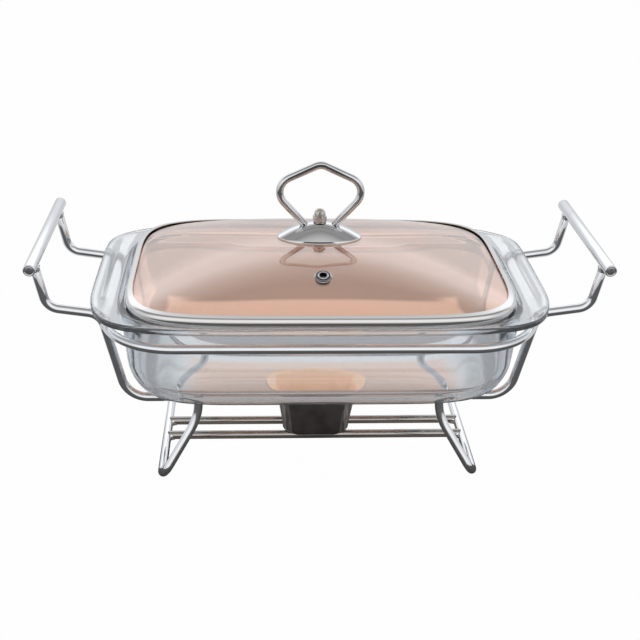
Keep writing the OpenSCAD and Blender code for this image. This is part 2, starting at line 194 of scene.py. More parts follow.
to_camera, in_glass = sky.outs("LightPath", ("Is Camera Ray", "Is Transmission Ray"))
seen = (to_camera + WHITER_IN_GLASS * in_glass).clamped().blend(walls, WHITE)
backdrop = sky.node("Background", None, {"Color": seen})
room_out = room.node_tree.nodes.new("ShaderNodeOutputWorld")
sky.feed(room_out.inputs["Surface"], backdrop)


# Table: a matt pale board. Through the glass it shows painted light for what falls through the amber
# lid, an amber pool and a paler one under the dish, and painted shade past the lid, by the ends and in
# front.
# Each pair below is where a change starts and ends, in metres from the middle or along Y.
TABLE_HALF = 12.0
TABLE_DROP = 0.2 * MM
TABLE_GREY = (0.30, 0.30, 0.31)
AMBER_LIGHT = (1.0, 0.72, 0.59)
WHITE_TO_CAMERA = 0.985
WHITE_IN_METAL = 0.55
WHITE_IN_POOL = 1.0
WHITE_PAST_POOL = 0.29
POOL_MID = 0.012
LIT_POOL = (0.286, 0.304)
LIT_POOL_LONG = 1.7
AMBER_POOL = (0.165, 0.20)
AMBER_POOL_LONG = 1.45
MID_LINE = 0.021
PAST_LID = (0.217, 0.231)
SHADE_PAST_LID = 0.08
UNDER_DISH = (0.05, 0.125)
UNDER_DISH_PLAN = (0.5, 1.0, 0.0)
LIGHT_UNDER_DISH = 0.45
FRONT_TABLE = (-0.12, 0.01)
LIGHT_IN_FRONT = 0.3
REAR_TABLE = (0.0, 0.04)
FAR_TABLE = (0.1, 0.8)
BY_ENDS = (0.12, 0.155)
BEHIND_ENDS = (0.16, 0.24)
SHADE_BY_ENDS = 0.45


def sheet(name, corners, material):
    """A flat four-cornered piece of the studio."""
    mesh = bpy.data.meshes.new(name)
    mesh.from_pydata(corners, [], [(0, 1, 2, 3)])
    mesh.materials.append(material)
    made = bpy.data.objects.new(name, mesh)
    studio.collection.objects.link(made)
    return made


table_paint = bpy.data.materials.new("table_paint")
table_paint.use_nodes = True
table_paint.node_tree.nodes.clear()
table = Field(table_paint.node_tree)
ray_kinds = ("Is Camera Ray", "Is Glossy Ray", "Is Transmission Ray")
camera_ray, glossy_ray, glass_ray = table.outs("LightPath", ray_kinds)
spot = table.node("NewGeometry", out="Position")
spot_x, spot_y = spot.outs("SeparateXYZ", ("X", "Y"), {0: spot})
off_pool = abs(spot_x - POOL_MID)
deep_spot = abs(spot_y)
amber_spot = spot.math("MAXIMUM", AMBER_POOL_LONG * off_pool, deep_spot)
lit_spot = spot.math("MAXIMUM", LIT_POOL_LONG * off_pool, deep_spot)
past_lid = abs(spot_x - MID_LINE).step(*PAST_LID)
past_pool = lit_spot.step(*LIT_POOL) * (1 - past_lid)
by_ends = off_pool.step(*BY_ENDS) * (1 - spot_y.step(*BEHIND_ENDS))
# Painted shade seen through the glass: darker under the dish, in front, by the ends and past the lid.
round_spot = spot.vector("MULTIPLY", UNDER_DISH_PLAN).vector("LENGTH", out="Value")
painted_under_dish_shade = round_spot.step(*UNDER_DISH).between(LIGHT_UNDER_DISH, 1.0)
behind = spot_y.step(*FRONT_TABLE).between(LIGHT_IN_FRONT, 1.0)
shade = (1 - SHADE_BY_ENDS * by_ends) * (1 - SHADE_PAST_LID * past_lid)
pool_white = past_pool.between(WHITE_IN_POOL, WHITE_PAST_POOL)
through = glass_ray * painted_under_dish_shade * behind * shade * pool_white
# Painted shade in metal: the table shows whiter only far from the dish and behind it.
far_off = spot.vector("LENGTH", out="Value").step(*FAR_TABLE)
in_metal = WHITE_IN_METAL * far_off.math("MAXIMUM", far_off, spot_y.step(*REAR_TABLE))
whiteness = camera_ray * WHITE_TO_CAMERA + glossy_ray * (1 - glass_ray) * in_metal + through
# Painted light: the amber pool of light through the lid, seen through the glass.
painted_amber_pool = (1 - amber_spot.step(*AMBER_POOL)) * spot_y.step(*FRONT_TABLE)
shown = glass_ray.blend(WHITE, painted_amber_pool.blend(WHITE, AMBER_LIGHT))
matt = table.node("BsdfDiffuse", None, {"Color": TABLE_GREY})
painted_light_emission = table.node("Emission", None, {"Color": shown})
table_skin = table.node("MixShader", None, {0: whiteness.clamped(), 1: matt, 2: painted_light_emission})
table_out = table_paint.node_tree.nodes.new("ShaderNodeOutputMaterial")
table.feed(table_out.inputs["Surface"], table_skin)
table_signs = ((-1, -1), (1, -1), (1, 1), (-1, 1))
sheet("table_top", [(x * TABLE_HALF, y * TABLE_HALF, -TABLE_DROP) for x, y in table_signs], table_paint)


# Lamps: a soft box over the table lights it and the candle. A long lamp close under the dish stands
# for the light that falls on the burner through the amber lid. Metal and glass show neither.
# Each has its two sides, its height, its watts and its colour.
LAMPS = {
    "soft_box": ((1.6, 1.6), 1.8, 16.0, WHITE),
    "light_through_lid": ((0.26, 0.09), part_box("glass_dish")[0].z - 1 * MM, 0.11, (1.0, 0.82, 0.70)),
}
for name, (sides, height, watts, colour) in LAMPS.items():
    glow = bpy.data.lights.new(name, "AREA")
    glow.shape = "RECTANGLE"
    glow.size, glow.size_y = sides
    glow.energy = watts
    glow.color = colour
    lamp = bpy.data.objects.new(name, glow)
    lamp.location = (0.0, 0.0, height)
    lamp.visible_glossy = False
    lamp.visible_transmission = False
    studio.collection.objects.link(lamp)


# Black flags: two cards of matt cloth, seen only in reflections. One stands before the lid's handle,
# so that the loop and its nut show dark fronts. One lies on the table, so that the wires show dark
# undersides. Each has a corner and two edges.
FLAGS = {
    "standing_flag": ((-0.055, -0.097, 0.205), (0.11, 0, 0), (0, 0, 0.1)),
    "lying_flag": ((-0.8, -1.6, 0.001), (1.6, 0, 0), (0, 1.58, 0)),
}
FLAG_CLOTH = grey(0.085)
FLAG_NAP = 0.9
flag_cloth = bpy.data.materials.new("black_flag_cloth")
flag_cloth.use_nodes = True
cloth_shader = flag_cloth.node_tree.nodes["Principled BSDF"]
cloth_shader.inputs["Base Color"].default_value = (*FLAG_CLOTH, 1.0)
cloth_shader.inputs["Roughness"].default_value = FLAG_NAP
for name, edges in FLAGS.items():
    corner, along, upright = (Vector(edge) for edge in edges)
    flag_corners = [corner, corner + along, corner + along + upright, corner + upright]
    flag = sheet(name, flag_corners, flag_cloth)
    for way_seen in ("camera", "diffuse", "transmission", "shadow"):
        setattr(flag, "visible_" + way_seen, False)


# Wire stand: 7 mm mild steel wire, bent cold, resistance welded at every crossing, then polished
# and chrome plated. One cradle wire runs from bar to bar in front of the middle and one behind it.
WIRE_R = 3.5 * MM
WIRE_SIDES = 32
ARC_STEP = math.radians(5)
NOSE_LONG = 0.35
NOSE_SHARE = 0.78
CHROME = (0.80, 0.81, 0.83)


def finish(name, colour, **constants):
    """A Principled material, its shader and the piece's own coordinates."""
    made = bpy.data.materials.new(name)
    made.use_nodes = True
    shader = made.node_tree.nodes["Principled BSDF"]
    where = Field(made.node_tree).node("TexCoord", out="Object")
    where.feed(shader.inputs["Base Color"], colour)
    for socket, value in constants.items():
        shader.inputs[socket.replace("_", " ")].default_value = value
    return made, shader, where


def noise(where, scale, detail=3.0, stretch=(1, 1, 1)):
    """Grain of about 1 / scale metres, drawn out along an axis by stretch."""
    laid = where.node("Mapping", None, {"Vector": where, "Scale": stretch})
    return where.node("TexNoise", None, {"Vector": laid, "Scale": scale, "Detail": detail})


def bump(height, depth, strength):
    raised = {"Height": height, "Distance": depth, "Strength": strength}
    return height.node("Bump", None, raised)


HAZE_GRAIN = 38.0
RUB_GRAIN = 900.0
RIPPLE_GRAIN = 60.0
HAZE_SHARE = 0.75
RUB_SHARE = 0.35
RIPPLE_DEEP = 0.02 * MM
RIPPLE_SHOWS = 0.02
STAIN = (0.55, 0.8)
STAIN_SHARE = 0.86


def plated(name, colour, low, high):
    """Bright plate: faint ripples from polishing, hazy patches and a few finer rubs."""
    made, shader, where = finish(name, colour, Metallic=1.0)
    haze = noise(where, HAZE_GRAIN, detail=4.0)
    rubs = noise(where, RUB_GRAIN, detail=2.0)
    worn = (haze * HAZE_SHARE + rubs * RUB_SHARE).clamped()
    stained = tuple(STAIN_SHARE * c for c in colour)
    ripples = noise(where, RIPPLE_GRAIN, detail=1.0)
    where.feed(shader.inputs["Roughness"], worn.between(low, high))
    where.feed(shader.inputs["Base Color"], haze.step(*STAIN).blend(colour, stained))
    where.feed(shader.inputs["Normal"], bump(ripples, RIPPLE_DEEP, RIPPLE_SHOWS))
    return made


chrome = plated("polished_chrome_wire", CHROME, 0.04, 0.10)


def rounded_path(corners, bends):
    """Points along a wire: straight runs joined by arcs of the given bend radii."""
    points = [Vector(corners[0])]
    for before, corner, after, bend in zip(corners, corners[1:], corners[2:], bends):
        come = (Vector(corner) - Vector(before)).normalized()
        go = (Vector(after) - Vector(corner)).normalized()
        turn = come.angle(go)
        start = Vector(corner) - come * bend * math.tan(turn / 2)
        side = (go - come * come.dot(go)).normalized()
        steps = max(2, math.ceil(turn / ARC_STEP))
        for k in range(steps + 1):
            angle = turn * k / steps
            points.append(start + side * bend * (1 - math.cos(angle)) + come * bend * math.sin(angle))
    points.append(Vector(corners[-1]))
    return points


def hoop(at, along, across, radii):
    """A ring of points round an axis, one for each radius."""
    over = along.cross(across)
    turns = [2 * math.pi * k / len(radii) for k in range(len(radii))]
    return [at + r * (across * math.cos(a) + over * math.sin(a)) for r, a in zip(radii, turns)]


def tube(points, radius, sides=WIRE_SIDES):
    """Rings of a round wire along points, with a short eased nose at each end."""
    first = (points[1] - points[0]).normalized() * radius * NOSE_LONG
    last = (points[-1] - points[-2]).normalized() * radius * NOSE_LONG
    run = [(points[0], NOSE_SHARE), (points[0] + first, 1.0)]
    run += [(p, 1.0) for p in points[1:-1]]
    run += [(points[-1] - last, 1.0), (points[-1], NOSE_SHARE)]
    rings = []
    across = None
    for i, (place, share) in enumerate(run):
        along = (run[min(i + 1, len(run) - 1)][0] - run[max(i - 1, 0)][0]).normalized()
        if across is None:
            across = along.orthogonal().normalized()
        across = (across - along * across.dot(along)).normalized()
        rings.append(hoop(place, along, across, [radius * share] * sides))
    return rings


def skin(rings, closed=False, caps=True):
    """Vertices and faces of a stack of rings; closed joins the last ring to the first."""
    count = len(rings[0])
    verts = [tuple(p) for ring in rings for p in ring]
    faces = []
    for k in range(len(rings) if closed else len(rings) - 1):
        low = k * count
        high = (k + 1) % len(rings) * count
        for i in range(count):
            j = (i + 1) % count
            faces.append((low + i, low + j, high + j, high + i))
    if caps and not closed:
        faces.append(tuple(reversed(range(count))))
        top = (len(rings) - 1) * count
        faces.append(tuple(range(top, top + count)))
    return verts, faces


def piece(name, solids, material, body, nodes=(), sharp=40):
    """One object of one or more skins, shaded smooth, that rides on a body and stands for nodes."""
    verts = []
    faces = []
    for solid_verts, solid_faces in solids:
        start = len(verts)
        verts += solid_verts
        faces += [tuple(start + i for i in face) for face in solid_faces]
    mesh = bpy.data.meshes.new(name)
    mesh.from_pydata(verts, [], faces)
    mesh.validate()
    mesh.shade_smooth()
    mesh.set_sharp_from_angle(angle=math.radians(sharp))
    made = bpy.data.objects.new(name, mesh)
    studio.collection.objects.link(made)
    made.data.materials.append(material)
    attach(made, body)
    if nodes:
        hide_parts(*nodes)
    return made


def middle(node):
    low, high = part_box(node)
    return (low + high) / 2


def size(node):
    low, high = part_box(node)
    return high - low


BAR_X = middle("right_handle_bar").x
BAR_Z = middle("right_handle_bar").z
CRADLE_Y = middle("rear_cradle_wire").y
RUN_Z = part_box("front_cradle_wire")[0].z + WIRE_R
SHELF_OUT = (204 * MM, 142.8 * MM)
SHELF_IN = (165 * MM, 137.2 * MM)
CRADLE_FOOT = 148.6 * MM
CRADLE_BENDS = [b * MM for b in (12, 13, 20)]


def cradle_corners(y):
    half = [(BAR_X, BAR_Z), SHELF_OUT, SHELF_IN, (CRADLE_FOOT, RUN_Z)]
    return [(x, y, z) for x, z in half] + [(-x, y, z) for x, z in reversed(half)]


for name, y in (("front_cradle_wire", -CRADLE_Y), ("rear_cradle_wire", CRADLE_Y)):
    line = rounded_path(cradle_corners(y), CRADLE_BENDS + CRADLE_BENDS[::-1])
    piece("chrome_" + name, [skin(tube(line, WIRE_R))], chrome, "stand", [name])


# Guard wires: a rounded bow in front of the dish and one behind it, butted on the cradle wires.
# They keep the dish from sliding forwards or back.
GUARD_BEND = 55 * MM
GUARD_X = 163.5 * MM
GUARD_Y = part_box("rear_guard_wire")[1].y - WIRE_R
GUARD_Z = middle("front_guard_wire").z
BUTT_SHARE = 0.6
BUTT_Y = CRADLE_Y + BUTT_SHARE * WIRE_R


def guard_line(facing):
    """The bow, cut where it reaches the cradle wire."""
    corners = [(-GUARD_X, 0, GUARD_Z), (-GUARD_X, facing * GUARD_Y, GUARD_Z)]
    corners += [(-x, y, z) for x, y, z in reversed(corners)]
    line = [p for p in rounded_path(corners, [GUARD_BEND] * 2) if abs(p.y) > BUTT_Y]
    reach = math.sqrt(GUARD_BEND ** 2 - (GUARD_Y - GUARD_BEND - BUTT_Y) ** 2)
    butt_x = GUARD_X - GUARD_BEND + reach
    butts = [Vector((side * butt_x, facing * BUTT_Y, GUARD_Z)) for side in (-1, 1)]
    return [butts[0], *line, butts[1]]


for name, facing in (("front_guard_wire", -1), ("rear_guard_wire", 1)):
    bow = guard_line(facing)
    piece("chrome_" + name, [skin(tube(bow, WIRE_R))], chrome, "stand", [name])


# Feet: each is one wire bent into a sled, with a floor run and two limbs that rise to the cradle.
# The floor run's underside is worn flat where it stands on the table.
LIMB_TOP_X = 94.2 * MM
LIMB_KNEE = (94.6 * MM, CRADLE_Y + 2 * MM, RUN_Z - 17 * MM)
FLOOR_X = 123.8 * MM
FLOOR_Y = 75 * MM
FLOOR_WEAR = 0.3 * MM
FLOOR_Z = WIRE_R - FLOOR_WEAR
KNEE_BEND = 40 * MM
FOOT_BEND = 9 * MM


def foot_corners(side):
    half = [(side * LIMB_TOP_X, CRADLE_Y, RUN_Z), (side * LIMB_KNEE[0], *LIMB_KNEE[1:])]
    half.append((side * FLOOR_X, FLOOR_Y, FLOOR_Z))
    return half + [(x, -y, z) for x, y, z in reversed(half)]


def worn_flat(ring):
    """A ring without what would stand below the table."""
    return [Vector((p.x, p.y, max(0.0, p.z))) for p in ring]


for name, side in (("left_foot", -1), ("right_foot", 1)):
    sled = rounded_path(foot_corners(side), [KNEE_BEND, FOOT_BEND, FOOT_BEND, KNEE_BEND])
    rings = [worn_flat(ring) for ring in tube(sled, WIRE_R)]
    piece("chrome_" + name, [skin(rings)], chrome, "stand", [name])


# Rails: two straight wires welded between the floor runs, a slide for the burner cup.
# They sit in the dish's shade, which is painted into their chrome as a darker, brownish grey.
RAIL_PAINTED_SHADE = (0.42, 0.40, 0.38)
painted_shade_rail_chrome = plated("rail_chrome_painted_shade", RAIL_PAINTED_SHADE, 0.05, 0.16)
for name in ("front_rail", "rear_rail"):
    at = middle(name)
    line = [Vector((x, at.y, at.z)) for x in (-FLOOR_X, FLOOR_X)]
    piece("chrome_" + name, [skin(tube(line, WIRE_R))], painted_shade_rail_chrome, "stand", [name])


# Welds: a small flare of melted wire round each crossing, plated over with the rest.
# Each flare is a short skirt that opens out towards the wire it meets.
random.seed(7)
WELD_LONG = 3.4 * MM
WELD_SIDES = 24
WELD_LUMP = 0.05
WELD_PROUD = 0.004
WELD_SHARES = [(0.0, 1.22), (0.25, 1.13), (0.5, 1.06), (0.75, 1.02), (1.0, 1.0)]
FROM_BAR = 3.9 * MM
FROM_WIRE = 2.9 * MM
FROM_TIP = 1.0 * MM
RAIL_Y = middle("rear_rail").y


def weld(at, towards):
    """A skirt at a point of a wire, widest at the point and fading out along towards."""
    along = Vector(towards).normalized()
    across = along.orthogonal().normalized()
    lumps = [random.uniform(-WELD_LUMP, WELD_LUMP) for _ in range(WELD_SIDES)]
    rings = []
    for far, wide in WELD_SHARES:
        radii = [WIRE_R * (wide + lump * (1 - far) + WELD_PROUD) for lump in lumps]
        rings.append(worn_flat(hoop(at + along * WELD_LONG * far, along, across, radii)))
    return skin(rings)


welds = []
for sx in (-1, 1):
    for sy in (-1, 1):
        bar_end = Vector((sx * BAR_X, sy * CRADLE_Y, BAR_Z))
        shelf_end = Vector((sx * SHELF_OUT[0], sy * CRADLE_Y, SHELF_OUT[1]))
        wire_way = (shelf_end - bar_end).normalized()
        welds.append(weld(bar_end + wire_way * FROM_BAR, wire_way))
        limb = Vector((sx * LIMB_TOP_X, sy * CRADLE_Y, RUN_Z - FROM_WIRE))
        welds.append(weld(limb, (0, 0, -1)))
        joint = Vector((sx * (FLOOR_X - FROM_WIRE), sy * RAIL_Y, FLOOR_Z))
        welds.append(weld(joint, (-sx, 0, 0)))
        bow = guard_line(sy)
        tip, inner_point = (bow[0], bow[1]) if sx < 0 else (bow[-1], bow[-2])
        inward = inner_point - tip
        welds.append(weld(tip + inward.normalized() * FROM_TIP, inward))
piece("stand_welds", welds, chrome, "stand")


# Handle bars: chromed tube, its ends rolled slightly in, with a turned steel plug in each end.
# The plug sits a hair inside the tube, so the tube's rim shows as a bright ring.
BAR_R = size("right_handle_bar").z / 2
BAR_HALF = size("right_bar_end_caps").y / 2
BAR_WALL = 1.0 * MM
BAR_ROLLED = 0.7 * MM
BAR_DEEP = 3 * MM
PLUG_FIT = 0.9
PLUG_R = BAR_R - BAR_WALL * PLUG_FIT
PLUG_LONG = 6 * MM
PLUG_EASE = 0.3 * MM
PLUG_SUNK = 0.5 * MM
PLUG_STEEL = (0.50, 0.50, 0.51)
PLUG_ROUGH = (0.24, 0.40)
NO_RADIUS = 0.01 * MM


def turned(profile, at, axis, sides=48, caps=True):
    """A lathe-turned skin: (radius, height) pairs about an axis through a point."""
    along = Vector(axis).normalized()
    across = along.orthogonal().normalized()
    rings = [hoop(at + along * h, along, across, [max(r, NO_RADIUS)] * sides) for r, h in profile]
    return skin(rings, caps=caps)


def arc(centre_r, centre_h, radius, start, stop, steps=6):
    """Points of a rounded corner in a turned profile, in degrees from outwards to upwards."""
    angles = [math.radians(start + (stop - start) * k / steps) for k in range(steps + 1)]
    return [(centre_r + radius * math.cos(a), centre_h + radius * math.sin(a)) for a in angles]


bar_profile = [(BAR_R - BAR_WALL, -BAR_HALF + BAR_DEEP)]
bar_profile += arc(BAR_R - BAR_ROLLED, -BAR_HALF + BAR_ROLLED, BAR_ROLLED, -180, 0, 8)
bar_profile += arc(BAR_R - BAR_ROLLED, BAR_HALF - BAR_ROLLED, BAR_ROLLED, 0, 180, 8)
bar_profile += [(BAR_R - BAR_WALL, BAR_HALF - BAR_DEEP)]
plug_profile = [(PLUG_R, -PLUG_LONG), (PLUG_R, -PLUG_EASE), (PLUG_R - PLUG_EASE, 0.0)]
plug_profile += [(PLUG_R * 0.55, 0.12 * MM), (0.0, 0.16 * MM)]
plug_steel, plug_shader, plug_at = finish("turned_plug_steel", PLUG_STEEL, Metallic=1.0)
tool_rings = plug_at.node(
    "TexWave", {"wave_type": "RINGS", "rings_direction": "Y"},
    {"Vector": plug_at, "Scale": 420.0, "Distortion": 0.6},
)
plug_at.feed(plug_shader.inputs["Roughness"], noise(plug_at, scale=220.0).between(*PLUG_ROUGH))
plug_at.feed(plug_shader.inputs["Normal"], bump(tool_rings, depth=0.02 * MM, strength=0.25))

for side, sign in (("left", -1), ("right", 1)):
    axis_at = Vector((sign * BAR_X, 0, BAR_Z))
    bar_tube = turned(bar_profile, axis_at, (0, 1, 0))
    piece(f"chrome_{side}_handle_bar", [bar_tube], chrome, "stand", [f"{side}_handle_bar"])
    plugs = [
        turned(plug_profile, axis_at + Vector((0, end * (BAR_HALF - PLUG_SUNK), 0)), (0, end, 0))
        for end in (-1, 1)
    ]
    piece(f"steel_{side}_bar_plugs", plugs, plug_steel, "stand", [f"{side}_bar_end_caps"])


# Burner cup: one sheet of stainless steel, pressed into an eight-sided cup with an upturned oval brim.
# The outside is painted dark for the shade it shows and is faintly brushed; the inside is painted a straw
# amber for the light that falls through the amber lid. Both carry random scorch marks.
CUP_WALL = 0.8 * MM
CUP_DRAW = 6 * MM
CUP_CHAMFER = 9.5 * MM
CUP_ROUND = 4 * MM
CUP_EASE = 0.4 * MM
CUP_ROWS = 8
CORNER_STEPS = 6
CORNER_REACH = 0.8 * CUP_ROUND
CORNER_CUT = 0.4
INNER_ROUND = 0.85
BRIM_OUT = 8 * MM
BRIM_RISE = 2.5 * MM
CUP_PAINTED_SHADE = (0.42, 0.42, 0.425)
SCORCHED_PAINTED_SHADE = (0.27, 0.255, 0.245)
LINING_PAINTED_AMBER = (1.0, 0.79, 0.64)
SCORCHED_PAINTED_AMBER = (0.97, 0.74, 0.50)
SCORCH = (0.42, 0.72)
CUP_ROUGH = (0.07, 0.16)
LINING_ROUGH = 0.34
LINING_METAL = 0.25
FACE_EDGE = (-0.002, 0.002)
cup_low, cup_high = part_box("burner_cup")
cup_base = cup_low.z
cup_top = cup_high.z


def cup_ring(spread, z):
    """An eight-sided outline with round corners, spread out from the cup's base size."""
    a = cup_high.x - CUP_DRAW + spread
    b = cup_high.y - CUP_DRAW + spread
    cut = CUP_CHAMFER + spread / 4
    corners = [(a, -(b - cut)), (a, b - cut), (a - cut, b), (-(a - cut), b)]
    corners += [(-x, -y) for x, y in corners]
    corners = [Vector((x, y, z)) for x, y in corners]
    ring = []
    for i, corner in enumerate(corners):
        next_corner = corners[(i + 1) % len(corners)]
        before = (corners[i - 1] - corner).normalized()
        after = (next_corner - corner).normalized()
        reach = min(CORNER_REACH, cut * CORNER_CUT)
        for k in range(CORNER_STEPS + 1):
            t = k / CORNER_STEPS
            ring.append(corner + before * reach * (1 - t) ** 2 + after * reach * t ** 2)
        bend_end = ring[-1]
        next_bend = next_corner - after * reach
        ring += [bend_end.lerp(next_bend, k / CORNER_STEPS) for k in range(1, CORNER_STEPS)]
    return ring


def brim_ring(reach, z):
    """From the cup's mouth at 0 to the oval edge of the brim at 1."""
    ring = []
    for p in cup_ring(CUP_DRAW - CUP_EASE, z):
        angle = math.atan2(p.y / cup_high.y, p.x / cup_high.x)
        oval_x = (cup_high.x + BRIM_OUT) * math.cos(angle)
        oval_y = (cup_high.y + BRIM_OUT) * math.sin(angle)
        ring.append(p.lerp(Vector((oval_x, oval_y, z)), reach))
    return ring


base_arc = arc(-CUP_ROUND, CUP_ROUND, CUP_ROUND, -90, -8, 7)
wall_rise = cup_top - cup_base - CUP_ROUND
cup_walls = [
    (CUP_DRAW * k / CUP_ROWS - CUP_EASE, cup_base + CUP_ROUND + wall_rise * k / CUP_ROWS)
    for k in range(1, CUP_ROWS)
]
brim_z = cup_top - CUP_WALL + BRIM_RISE
brim = [(0.12, cup_top - CUP_WALL), (0.95, brim_z), (0.99, brim_z + 0.15 * MM)]
brim += [(1.0, brim_z + CUP_WALL / 2), (0.97, brim_z + CUP_WALL)]
brim += [(0.1, cup_top), (0.0, cup_top - 0.1 * MM)]
cup = [cup_ring(-CUP_ROUND * 3, cup_base)]
cup += [cup_ring(r, cup_base + h) for r, h in base_arc]
cup += [cup_ring(spread, z) for spread, z in cup_walls]
cup += [brim_ring(reach, z) for reach, z in brim]
cup += [cup_ring(CUP_DRAW - CUP_EASE - CUP_WALL, cup_top - 1.0 * MM)]
cup += [cup_ring(spread - CUP_WALL, z) for spread, z in reversed(cup_walls)]
cup += [cup_ring(r - CUP_WALL, cup_base + CUP_WALL + h * INNER_ROUND) for r, h in reversed(base_arc)]
cup += [cup_ring(-CUP_ROUND * 3, cup_base + CUP_WALL)]
burner_steel, burner_shader, burner_at = finish("cup_steel_painted_shade_and_amber", CUP_PAINTED_SHADE)
drawn = noise(burner_at, scale=260.0, stretch=(1, 1, 0.06))
scorch = noise(burner_at, scale=60.0, detail=4.0).step(*SCORCH)
# A face belongs to the outside where it looks away from the cup's axis, or down.
out_and_down = burner_at.vector("MULTIPLY_ADD", (1.0, 1.0, 0.0), (0.0, 0.0, -0.03))
face_way = burner_at.node("NewGeometry", out="Normal")
outer_face = out_and_down.vector("DOT_PRODUCT", face_way, out="Value").step(*FACE_EDGE)
# Painted shade darkens the outside and painted amber light colours the lining, each with random scorch.
outer_painted_shade = scorch.blend(CUP_PAINTED_SHADE, SCORCHED_PAINTED_SHADE)
lining_painted_amber = scorch.blend(LINING_PAINTED_AMBER, SCORCHED_PAINTED_AMBER)
burner_at.feed(burner_shader.inputs["Base Color"], outer_face.blend(lining_painted_amber, outer_painted_shade))
cup_rough = drawn.between(*CUP_ROUGH) + LINING_ROUGH * (1 - outer_face)
burner_at.feed(burner_shader.inputs["Roughness"], cup_rough)
burner_at.feed(burner_shader.inputs["Metallic"], outer_face.between(LINING_METAL, 1.0))
burner_at.feed(burner_shader.inputs["Normal"], bump(drawn, depth=0.03 * MM, strength=0.3))
piece("pressed_burner_cup", [skin(cup)], burner_steel, "burner", ["burner_cup"])


# Tealight: a drawn aluminium cup of white paraffin with a braided cotton wick, held upright by a
# crimped tin foot. The wax has set with a low meniscus at the rim and round the wick.
TEALIGHT_SIDES = 72
UPRIGHT = (0, 0, 1)
FOIL = 0.35 * MM
FOIL_ALUMINIUM = (0.78, 0.78, 0.79)
FOIL_ROUGH = (0.22, 0.42)
case_low, case_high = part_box("tealight_case")
case_r = case_high.x
case_h = case_high.z - case_low.z
foil_profile = [(0.0, 0.0), (case_r * 0.55, 0.0)]
foil_profile += [(case_r * 0.6, 0.5 * MM), (case_r * 0.85, 0.5 * MM)]
foil_profile += arc(case_r - 1.6 * MM, 1.4 * MM, 1.4 * MM, -90, 0)
foil_profile += [(case_r - 0.15 * MM, case_h * 0.5), (case_r - 0.1 * MM, case_h - 0.5 * MM)]
foil_profile += arc(case_r - 0.25 * MM, case_h - 0.25 * MM, 0.25 * MM, -20, 200, 8)
foil_profile += [(case_r - 0.1 * MM - FOIL, case_h * 0.5), (case_r - FOIL - 0.15 * MM, 1.6 * MM)]
foil_profile += [(0.0, 1.2 * MM)]
foil, foil_shader, foil_at = finish("drawn_foil", FOIL_ALUMINIUM, Metallic=1.0)
foil_marks = noise(foil_at, scale=420.0, stretch=(1, 1, 0.1))
foil_at.feed(foil_shader.inputs["Roughness"], foil_marks.between(*FOIL_ROUGH))
foil_at.feed(foil_shader.inputs["Normal"], bump(foil_marks, depth=0.04 * MM, strength=0.3))
case = turned(foil_profile, Vector((0, 0, case_low.z)), UPRIGHT, TEALIGHT_SIDES)
piece("foil_tealight_case", [case], foil, "tealight", ["tealight_case"])

PARAFFIN = (0.93, 0.92, 0.88)
PARAFFIN_HUES = ((0.90, 0.885, 0.84), (0.95, 0.945, 0.92))
MENISCUS_ROWS = 5
MENISCUS_STEP = 0.08
MENISCUS_FALL = 0.9 * MM
wax_low, wax_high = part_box("tealight_wax")
wax_r = wax_high.x
wax_top = wax_high.z - wax_low.z
wax_profile = [(0.0, 0.0), (wax_r, 0.0), (wax_r, wax_top)]
wax_profile += [
    (wax_r * (1 - MENISCUS_STEP * k), wax_top - MENISCUS_FALL * (1 - (1 - k / MENISCUS_ROWS) ** 2))
    for k in range(1, MENISCUS_ROWS + 1)
]
wax_profile += [(wax_r * 0.3, wax_top - 1.0 * MM), (2.0 * MM, wax_top - 0.7 * MM)]
wax_profile += [(0.9 * MM, wax_top), (0.0, wax_top)]
wax, wax_shader, wax_at = finish("white_paraffin", PARAFFIN, Roughness=0.42, Subsurface_Weight=0.35)
wax_shader.inputs["Subsurface Radius"].default_value = (0.004, 0.0035, 0.003)
wax_cloud = noise(wax_at, scale=160.0, detail=4.0)
wax_at.feed(wax_shader.inputs["Base Color"], wax_cloud.blend(*PARAFFIN_HUES))
wax_at.feed(wax_shader.inputs["Normal"], bump(wax_cloud, depth=0.12 * MM, strength=0.4))
wax_cake = turned(wax_profile, Vector((0, 0, wax_low.z)), UPRIGHT, TEALIGHT_SIDES)
piece("set_wax", [wax_cake], wax, "tealight", ["tealight_wax"])

STRANDS = 3
STRAND_OFF = 0.45
STRAND_THICK = 0.55
STRAND_SIDES = 10
BRAID_TURNS = 5
BRAID_STEPS = 48
WICK_LEAN = 7.2 * MM
WICK_UPRIGHT = 0.75
COTTON = (0.90, 0.88, 0.82)
COTTON_HUES = ((0.82, 0.79, 0.70), (0.94, 0.92, 0.88))
wick_low, wick_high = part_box("wick")
wick_r = wick_high.x
strand_off = STRAND_OFF * wick_r
strands = []
for strand in range(STRANDS):
    line = []
    for k in range(BRAID_STEPS + 1):
        t = k / BRAID_STEPS
        turn = 2 * math.pi * (strand / STRANDS + BRAID_TURNS * t)
        lean = WICK_LEAN * max(0.0, t - WICK_UPRIGHT) ** 1.5
        z = wick_low.z + (wick_high.z - wick_low.z) * t
        line.append(Vector((lean + strand_off * math.cos(turn), strand_off * math.sin(turn), z)))
    strands.append(skin(tube(line, wick_r * STRAND_THICK, STRAND_SIDES)))
cotton, cotton_shader, cotton_at = finish("waxed_cotton", COTTON, Roughness=0.7)
fibre = noise(cotton_at, scale=2600.0, detail=2.0, stretch=(1, 1, 0.3))
cotton_at.feed(cotton_shader.inputs["Base Color"], fibre.blend(*COTTON_HUES))
cotton_at.feed(cotton_shader.inputs["Normal"], bump(fibre, depth=0.05 * MM, strength=0.5))
piece("braided_wick", strands, cotton, "tealight", ["wick"])


def dress(node, material):
    """A piece of the part that keeps its own form and is given a material."""
    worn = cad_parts[node].data.materials
    worn.clear()
    worn.append(material)


